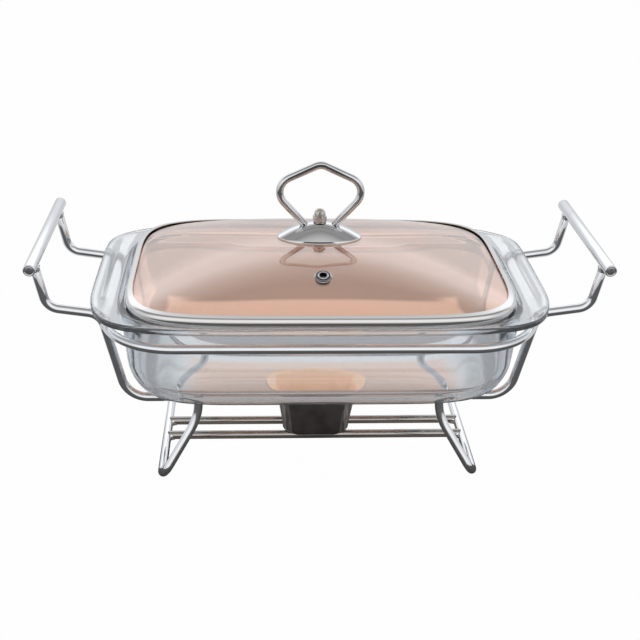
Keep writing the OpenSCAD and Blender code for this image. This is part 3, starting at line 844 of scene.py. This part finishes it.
NICKEL = (0.66, 0.63, 0.58)
nickel = plated("bright_nickel", NICKEL, 0.06, 0.16)
dress("wick_sustainer", nickel)


# Dish: soda-lime glass pressed in one blow, with a thick base, a flanged rim and a lug at each end.
# Each lug carries a raised pad for the thumb. The glass is clear, blue-green where it is thick, and
# a little hazy on the lugs.
DISH_T = 5.0 * MM
dish_low, dish_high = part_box("glass_dish")
dish_a = dish_high.x
dish_b = dish_high.y
DISH_Z = dish_low.z
RIM_Z = DISH_Z + 77.4 * MM
SEAT_Z = RIM_Z - 1.7 * MM
UNDER_Z = RIM_Z - 5.0 * MM
WALL_TOP = UNDER_Z - 4 * MM
# Each wall: how far out its base round is centred, the round's radius and the draft above it.
END_WALL = (112 * MM, 36 * MM, math.radians(4))
SIDE_WALL = (70.4 * MM, 18 * MM, math.radians(4.5))
PLAN_POWER = 5.2
WALL_POWER = 7.0
PLAN_SIDES = 240
PLAN_FINE = 7200
lid_low, lid_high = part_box("lid_rim_band")
lid_a = lid_high.x
lid_b = lid_high.y


def rounded_spot(a, b, power, t):
    """A point of a rounded rectangle; a higher power has tighter corners."""
    cos, sin = math.cos(t), math.sin(t)
    x = a * math.copysign(abs(cos) ** (2 / power), cos)
    y = b * math.copysign(abs(sin) ** (2 / power), sin)
    return x, y


def even_angles(a, b, power, count):
    """Angles that set points of a rounded rectangle evenly round its edge."""
    spots = [rounded_spot(a, b, power, 2 * math.pi * k / PLAN_FINE) for k in range(PLAN_FINE + 1)]
    walked = [0.0]
    for one, two in zip(spots, spots[1:]):
        walked.append(walked[-1] + math.dist(one, two))
    angles = []
    spot = 0
    for k in range(count):
        goal = walked[-1] * k / count
        while walked[spot + 1] < goal:
            spot += 1
        part = (goal - walked[spot]) / max(1e-12, walked[spot + 1] - walked[spot])
        angles.append(2 * math.pi * (spot + part) / PLAN_FINE)
    return angles


PLAN_ANGLES = even_angles(dish_a, dish_b, PLAN_POWER, PLAN_SIDES)


def outline(a, b, z, power=PLAN_POWER):
    return [Vector((*rounded_spot(a, b, power, t), z)) for t in PLAN_ANGLES]


def ramp(value):
    k = min(1.0, max(0.0, value))
    return k * k * (3 - 2 * k)


def wall_half(z, form, inset):
    """Half-size of a wall at a height: a round at the base that runs into a straight draft."""
    hub, bend, draft = form
    r = bend - inset
    centre = DISH_Z + bend
    tangent = centre - r * math.sin(draft)
    if z < tangent:
        return hub + math.sqrt(max(0.0, r * r - (centre - z) ** 2))
    return hub + r * math.cos(draft) + (z - tangent) * math.tan(draft)


def wall_ring(z, inset=0.0, lean=0.0):
    a = wall_half(z, END_WALL, inset) - lean
    b = wall_half(z, SIDE_WALL, inset) - lean
    return outline(a, b, z, WALL_POWER)


RIM_SWELL = 3.0 * MM


def inner_ring(z):
    share = max(0.0, (z - DISH_Z - DISH_T) / (SEAT_Z - DISH_Z - DISH_T))
    return wall_ring(z, DISH_T, RIM_SWELL * share)


LUG_RISE = 2.8 * MM
LUG_FROM = 1 * MM
LUG_SLOPE = 14 * MM
LUG_SHY = 12 * MM
LUG_SIDE = 40 * MM
PAD_RISE = 0.5 * MM
PAD_EDGE = 7.0 * MM
PAD_HALF = 66 * MM
PAD_TAPER = 0.55
PAD_FROM_LID = 7.5 * MM
PAD_FROM_EDGE = 6.2 * MM


def lug_lift(p, with_pad=True):
    """How far the lug and its pad stand above the rim at a point of the rim."""
    beyond = abs(p.x) - lid_a
    lug = LUG_RISE * ramp((beyond - LUG_FROM) / LUG_SLOPE) * ramp((dish_b - LUG_SHY - abs(p.y)) / LUG_SIDE)
    if not with_pad:
        return lug
    pad_side = PAD_HALF - PAD_TAPER * beyond - abs(p.y)
    inside_pad = min(beyond - PAD_FROM_LID, dish_a - PAD_FROM_EDGE - abs(p.x), pad_side)
    return lug + PAD_RISE * ramp(inside_pad / PAD_EDGE)


def lifted(ring, with_pad=True):
    return [Vector((p.x, p.y, p.z + lug_lift(p, with_pad))) for p in ring]


RIM_ROUND = 1.4 * MM
SEAT_CLEAR = 1.1 * MM


def rim_ring(inset, z):
    return outline(dish_a - inset, dish_b - inset, z)


def rim_top(k):
    """Across the rim's top, from its outer round at 0 to the lip of the lid's seat at 1."""
    a = (dish_a - RIM_ROUND) * (1 - k) + (lid_a + SEAT_CLEAR) * k
    b = (dish_b - RIM_ROUND) * (1 - k) + (lid_b + SEAT_CLEAR) * k
    return outline(a, b, RIM_Z)


# Rings in millimetres: in from the dish's edge at the ends and sides and up from the rim's
# underside, and out from the lid's edge and up from its seat.
NECK = [(20.5, 9.6, -1.6), (19.8, 9.0, -0.9), (18.8, 8.2, -0.35), (17.4, 7.0, 0.0)]
SEAT = [(0.7, 0.7, 0.3), (0.4, 0.4, 0.0), (-3.4, -3.4, 0.0), (-4.0, -4.6, -0.4)]
BASE_SHARES = (0.3, 0.5)
RIM_ROWS = 24
INNER_RISE = 0.8
base_heights = [END_WALL[1] * (1 - math.cos(math.radians(t))) for t in range(0, 85, 6)]
under_round = [(RIM_ROUND - r, RIM_ROUND + h) for r, h in arc(0, 0, RIM_ROUND, -90, 0, 4)]
upper_round = [(RIM_ROUND - r, h - RIM_ROUND) for r, h in arc(0, 0, RIM_ROUND, 0, 80, 4)]
outer = [outline(s * dish_a, s * dish_b, DISH_Z, WALL_POWER) for s in BASE_SHARES]
outer += [wall_ring(DISH_Z + h) for h in base_heights]
outer.append(wall_ring(WALL_TOP))
outer += [lifted(outline(dish_a - i * MM, dish_b - j * MM, UNDER_Z + h * MM), False) for i, j, h in NECK]
outer += [lifted(rim_ring(k * MM, UNDER_Z), False) for k in (5.2, 3.2)]
outer += [lifted(rim_ring(inset, UNDER_Z + h), False) for inset, h in under_round]
outer += [lifted(rim_ring(inset, RIM_Z + h)) for inset, h in upper_round]
outer += [lifted(rim_top(k / RIM_ROWS)) for k in range(RIM_ROWS + 1)]
seat = [outline(lid_a + i * MM, lid_b + j * MM, SEAT_Z + h * MM) for i, j, h in SEAT]
inner = [inner_ring(z) for z in (SEAT_Z - 2 * MM, WALL_TOP, DISH_Z + 45 * MM)]
inner += [inner_ring(DISH_Z + DISH_T + INNER_RISE * h) for h in reversed(base_heights)]
inner += [outline(s * dish_a, s * dish_b, DISH_Z + DISH_T, WALL_POWER) for s in reversed(BASE_SHARES)]
CLEAR_GLASS = (0.97, 0.985, 0.99)
GLASS_GREEN = (0.50, 0.62, 0.74)
GREEN_DENSITY = 24.0
SMEAR = (0.5, 0.85)
GLASS_ROUGH = (0.004, 0.024)
LUG_FROST = 0.11
LUG_HAZE = (lid_a + 3 * MM, lid_a + 9 * MM)
clear_glass, clear_shader, clear_at = finish(
    "clear_pressed_glass", CLEAR_GLASS, Transmission_Weight=0.94, IOR=1.5
)
smear = noise(clear_at, scale=26.0, detail=5.0).step(*SMEAR)
waves = noise(clear_at, scale=30.0, detail=1.0)
on_lug = abs(clear_at.node("SeparateXYZ", None, {0: clear_at})).step(*LUG_HAZE)
clear_at.feed(clear_shader.inputs["Roughness"], smear.between(*GLASS_ROUGH) + LUG_FROST * on_lug)
clear_at.feed(clear_shader.inputs["Normal"], bump(waves, depth=0.10 * MM, strength=0.12))
tint = clear_at.node("VolumeAbsorption", None, {"Color": GLASS_GREEN, "Density": GREEN_DENSITY})
clear_at.feed(clear_glass.node_tree.nodes["Material Output"].inputs["Volume"], tint)
dish_skin = skin(outer + seat + inner)
piece("pressed_glass_dish", [dish_skin], clear_glass, "dish", ["glass_dish"], sharp=60)


# Lid glass: a sheet of tempered glass, slumped into a low dome and given an amber half-mirror coat,
# ground round at the edge and drilled for the handle screw and the steam vent.
LID_T = 4.0 * MM
BAND_H = size("lid_rim_band").z
EDGE_TOP = lid_low.z + BAND_H / 2 + LID_T / 2
CROWN_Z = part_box("lid_glass")[1].z
DOME_RISE = CROWN_Z - EDGE_TOP
EDGE_IN = 1.45 * MM
SCREW_HOLE = 4.2 * MM
DOME_ROWS = 28
AMBER = (0.98, 0.59, 0.42)
AMBER_BREATH = (0.95, 0.565, 0.40)
AMBER_ROUGH = (0.012, 0.042)
BREATH = (0.45, 0.85)


def dome_ring(s, drop):
    """A ring of the dome, from the screw hole at 0 to the ground edge at 1."""
    power = 2 + (PLAN_POWER - 2) * s * s
    a = SCREW_HOLE + (lid_a - EDGE_IN - SCREW_HOLE) * s
    b = SCREW_HOLE + (lid_b - EDGE_IN - SCREW_HOLE) * s
    return outline(a, b, EDGE_TOP + DOME_RISE * (1 - s * s) - drop, power)


dome_shares = [k / DOME_ROWS for k in range(DOME_ROWS + 1)]
dome = [dome_ring(s, LID_T) for s in dome_shares]
dome += [dome_ring(s, 0.0) for s in reversed(dome_shares)]
amber_glass, amber_shader, amber_at = finish(
    "amber_half_mirror", AMBER, Transmission_Weight=1.0, IOR=1.45, Coat_IOR=2.3
)
breath = noise(amber_at, scale=18.0, detail=4.0).step(*BREATH)
inner_side = amber_at.node("NewGeometry", out="Backfacing")
amber_at.feed(amber_shader.inputs["Roughness"], breath.between(*AMBER_ROUGH))
amber_at.feed(amber_shader.inputs["Base Color"], breath.blend(AMBER, AMBER_BREATH))
amber_at.feed(amber_shader.inputs["Coat Weight"], 1 - inner_side)
dome_skin = skin(dome, closed=True)
piece("amber_lid_glass", [dome_skin], amber_glass, "lid", ["lid_glass"], sharp=60)


# Rim band: a strip of stainless steel rolled round the edge of the lid and closed over a seal.
# Its outer face is a polished bead, its two lips lie on the glass.
BAND_T = 0.8 * MM
BAND_STEEL = (0.74, 0.73, 0.72)
LOWER_LIP = 3.0 * MM
UPPER_LIP = 4.5 * MM
SEAL = 0.15 * MM
BEAD_DEEP = 0.55
bead = BAND_H / 2 - SEAL
half_glass = LID_T / 2
lip_rise = 2 * DOME_RISE * UPPER_LIP / lid_b


def band_ring(inset, h):
    """A ring of the band: in from the lid's edge and up from the band's middle."""
    return outline(lid_a - inset, lid_b - inset, lid_low.z + BAND_H / 2 + h)


band = [band_ring(LOWER_LIP + BAND_T, -half_glass - BAND_T)]
band += [band_ring(BEAD_DEEP * (bead - r), h) for r, h in arc(0, 0, bead, -90, 90, 14)]
band.append(band_ring(UPPER_LIP + BAND_T, half_glass + BAND_T * 0.7 + lip_rise))
band.append(band_ring(UPPER_LIP + BAND_T, half_glass + SEAL + lip_rise))
band.append(band_ring(BAND_T, half_glass + SEAL))
band.append(band_ring(BAND_T, -half_glass - SEAL))
band.append(band_ring(LOWER_LIP + BAND_T, -half_glass - SEAL))
rim_steel = plated("polished_rim_steel", BAND_STEEL, 0.06, 0.17)
band_skin = skin(band, closed=True)
piece("rolled_rim_band", [band_skin], rim_steel, "lid", ["lid_rim_band"], sharp=50)


# Steam vent: a chromed eyelet rolled through a hole near the front of the lid, over a spun washer.
# Its flange is domed, with a raised lip round the hole and a black disc in the bore as painted shade.
VENT_Y = 60 * MM
VENT_SIDES = 64
BORE = 2.3 * MM
SHANK = 3.7 * MM
SHANK_END = -LID_T - 1.2 * MM
BORE_SHADE_DISC = (-2.0 * MM, -1.8 * MM)
VENT_CHROME = grey(0.6)
HANDLE_CHROME = (0.74, 0.74, 0.75)
# Stops of the vent's painted light and shade, black in the hole, dark in the groove and darker at
# the edge: the share of its radius and the grey there.
VENT_SHADES = [(0.0, 0.01), (0.38, 0.01), (0.44, 0.6), (0.58, 0.6)]
VENT_SHADES += [(0.64, 0.12), (0.74, 0.12), (0.82, 0.55), (1.0, 0.35)]
vent_r = size("vent_eyelet").x / 2
dome_deep = lid_b - EDGE_IN - SCREW_HOLE
vent_share = (VENT_Y - SCREW_HOLE) / dome_deep
vent_slope = math.atan(2 * DOME_RISE * vent_share / dome_deep)
vent_way = Vector((0, -math.sin(vent_slope), math.cos(vent_slope)))
vent_at = Vector((0, -VENT_Y, EDGE_TOP + DOME_RISE * (1 - vent_share ** 2)))
vent_profile = [(SHANK, SHANK_END), (SHANK, 0.3 * MM), (vent_r - 0.3 * MM, 0.3 * MM)]
vent_profile += [(vent_r, 0.55 * MM), (vent_r - 0.25 * MM, 0.9 * MM)]
vent_profile += [(vent_r - 1.6 * MM, 1.45 * MM), (vent_r - 2.6 * MM, 1.3 * MM)]
vent_profile += arc(BORE + 0.75 * MM, 1.35 * MM, 0.6 * MM, 20, 170, 7)
vent_profile += [(BORE, 0.9 * MM), (BORE, SHANK_END), (SHANK, SHANK_END)]
# A black disc in the bore: painted shade of the deep hole.
bore_shade_disc_profile = [(0.0, BORE_SHADE_DISC[0]), (BORE, BORE_SHADE_DISC[0]), (BORE, BORE_SHADE_DISC[1]), (0.0, BORE_SHADE_DISC[1])]
vent_chrome, vent_shader, vent_where = finish(
    "vent_chrome_painted_shade", VENT_CHROME, Metallic=1.0, Roughness=0.12
)
in_radii = ((1 / vent_r, 1 / vent_r, 0.0), (0.0, VENT_Y / vent_r, 0.0))
off_axis = vent_where.vector("MULTIPLY_ADD", *in_radii).vector("LENGTH", out="Value")
# Painted light and shade in rings round the vent's axis.
vent_stops = [(place, grey(shade_there)) for place, shade_there in VENT_SHADES]
painted_vent_rings = off_axis.node("ValToRGB", {"stops": vent_stops}, {"Fac": off_axis})
vent_where.feed(vent_shader.inputs["Base Color"], painted_vent_rings)
eyelet = turned(vent_profile, vent_at, vent_way, VENT_SIDES, caps=False)
bore_shade_disc = turned(bore_shade_disc_profile, vent_at, vent_way, VENT_SIDES)
piece("rolled_vent_eyelet", [eyelet, bore_shade_disc], vent_chrome, "lid", ["vent_eyelet"])
handle_chrome = plated("handle_chrome", HANDLE_CHROME, 0.03, 0.1)
dress("vent_washer", handle_chrome)


# Handle plate: an oval of sheet steel, pressed to a low crown with a turned-down edge and chromed.
# The loop's two ends are pressed into it and spot welded.
plate_low, plate_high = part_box("handle_plate")
plate_z = plate_low.z
plate_h = plate_high.z - plate_z
PLATE_T = 1.0 * MM
PLATE_HOLE = 3.0 * MM
PLATE_BRIM = -0.05 * MM
PLATE_CROWN_POWER = 1.6
PLATE_ROWS = 20
PLATE_SIDES = 96
# The turned-down edge: the share of the plate's size and the height in millimetres.
PLATE_EDGE = [(0.98, -1.1), (0.993, -1.05), (1.0, -0.8), (1.0, -0.45), (0.996, -0.2)]
UNDER_SHARE = 0.975
CROWN_SHARE = 0.99


def plate_ring(s, h):
    a = PLATE_HOLE + (plate_high.x - PLATE_HOLE) * s
    b = PLATE_HOLE + (plate_high.y - PLATE_HOLE) * s
    angles = [2 * math.pi * k / PLATE_SIDES for k in range(PLATE_SIDES)]
    return [Vector((a * math.cos(t), b * math.sin(t), plate_z + h)) for t in angles]


def plate_crown(s):
    return PLATE_BRIM + (plate_h - PLATE_BRIM) * (1 - s ** PLATE_CROWN_POWER)


plate_shares = [k / PLATE_ROWS for k in range(PLATE_ROWS + 1)]
plate = [plate_ring(s * UNDER_SHARE, plate_crown(s) - PLATE_T) for s in plate_shares]
plate += [plate_ring(s, h * MM) for s, h in PLATE_EDGE]
plate += [plate_ring(s * CROWN_SHARE, plate_crown(s * CROWN_SHARE)) for s in reversed(plate_shares)]
plate_skin = skin(plate, closed=True)
piece("pressed_handle_plate", [plate_skin], handle_chrome, "lid", ["handle_plate"],
      sharp=60)


# Handle loop: chromed wire bent to a roof over two shoulders, its limbs leaning in to the plate.
# It lifts the lid, and its crown stands clear of the hot glass.
LOOP_R = 2.95 * MM
LOOP_SIDES = 36
LOOP_FOOT = (9.3 * MM, 0, plate_z + 6.2 * MM)
LOOP_SHOULDER = (39.2 * MM, 0, CROWN_Z + 39.798 * MM)
LOOP_APEX = (0, 0, CROWN_Z + 58.0 * MM)
LOOP_BENDS = [12.5 * MM, 9 * MM, 12.5 * MM]
LOOP_CHROME = (0.72, 0.72, 0.73)
right_limb = [LOOP_SHOULDER, LOOP_FOOT]
left_limb = [(-x, y, z) for x, y, z in reversed(right_limb)]
loop_line = rounded_path([*left_limb, LOOP_APEX, *right_limb], LOOP_BENDS)
loop_chrome = plated("loop_chrome", LOOP_CHROME, 0.03, 0.08)
loop_wire = skin(tube(loop_line, LOOP_R, LOOP_SIDES))
piece("bent_handle_loop", [loop_wire], loop_chrome, "lid", ["handle_loop"])


# Handle fixing: a domed cap nut on a washer over the plate, and a screw from under the glass with a
# washer and silicone on both faces, so that no metal bears on the glass.
nut_low, nut_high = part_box("cap_nut")
nut_z = nut_low.z
NUT_FLATS = 5.0 * MM
NUT_BORE = 3.1 * MM
NUT_EASE = 0.15 * MM
NUT_SIDES = 72
NUT_TURN = 0.2
HEX_H = 4.3 * MM
DOME_R = 4.4 * MM
SATIN_NICKEL = (0.66, 0.62, 0.57)
nut_round = NUT_FLATS / math.cos(math.pi / 6) - NUT_EASE
nut_angles = [2 * math.pi * k / NUT_SIDES for k in range(NUT_SIDES)]


def nut_spot(r, a, z):
    return Vector((r * math.cos(a + NUT_TURN), r * math.sin(a + NUT_TURN), z))


def hex_ring(z, ease):
    """A six-sided outline, its corners cut back by ease towards a circle."""
    ring = []
    for a in nut_angles:
        flat = NUT_FLATS / math.cos((a + math.pi / 6) % (math.pi / 3) - math.pi / 6)
        ring.append(nut_spot(min(flat, nut_round - ease), a, z))
    return ring


def round_ring(r, z):
    return [nut_spot(r, a, z) for a in nut_angles]


dome_z = nut_high.z - DOME_R
dome_angles = [math.radians(a) for a in range(8, 90, 9)]
nut = [round_ring(NUT_BORE, nut_z), hex_ring(nut_z, 0.55 * MM), hex_ring(nut_z + 0.5 * MM, 0.0)]
nut += [hex_ring(nut_z + HEX_H - 0.6 * MM, 0.0), hex_ring(nut_z + HEX_H - 0.1 * MM, 0.5 * MM)]
nut += [round_ring(DOME_R, nut_z + HEX_H), round_ring(DOME_R, dome_z)]
nut += [round_ring(DOME_R * math.cos(a), dome_z + DOME_R * math.sin(a)) for a in dome_angles]
satin_nickel = plated("satin_nickel", SATIN_NICKEL, 0.28, 0.4)
piece("domed_cap_nut", [skin(nut)], satin_nickel, "lid", ["cap_nut"], sharp=30)
for node in ("nut_washer", "lid_screw", "inner_washer"):
    dress(node, nickel)

SILICONE = (0.85, 0.85, 0.83)
SILICONE_HUES = ((0.80, 0.80, 0.78), (0.88, 0.88, 0.87))
SILICONE_ROUGH = (0.34, 0.54)
silicone, silicone_shader, silicone_at = finish("clear_silicone", SILICONE, Transmission_Weight=0.4)
cloud = noise(silicone_at, scale=240.0)
silicone_at.feed(silicone_shader.inputs["Base Color"], cloud.blend(*SILICONE_HUES))
silicone_at.feed(silicone_shader.inputs["Roughness"], cloud.between(*SILICONE_ROUGH))
for node in ("inner_gasket", "outer_bush"):
    dress(node, silicone)
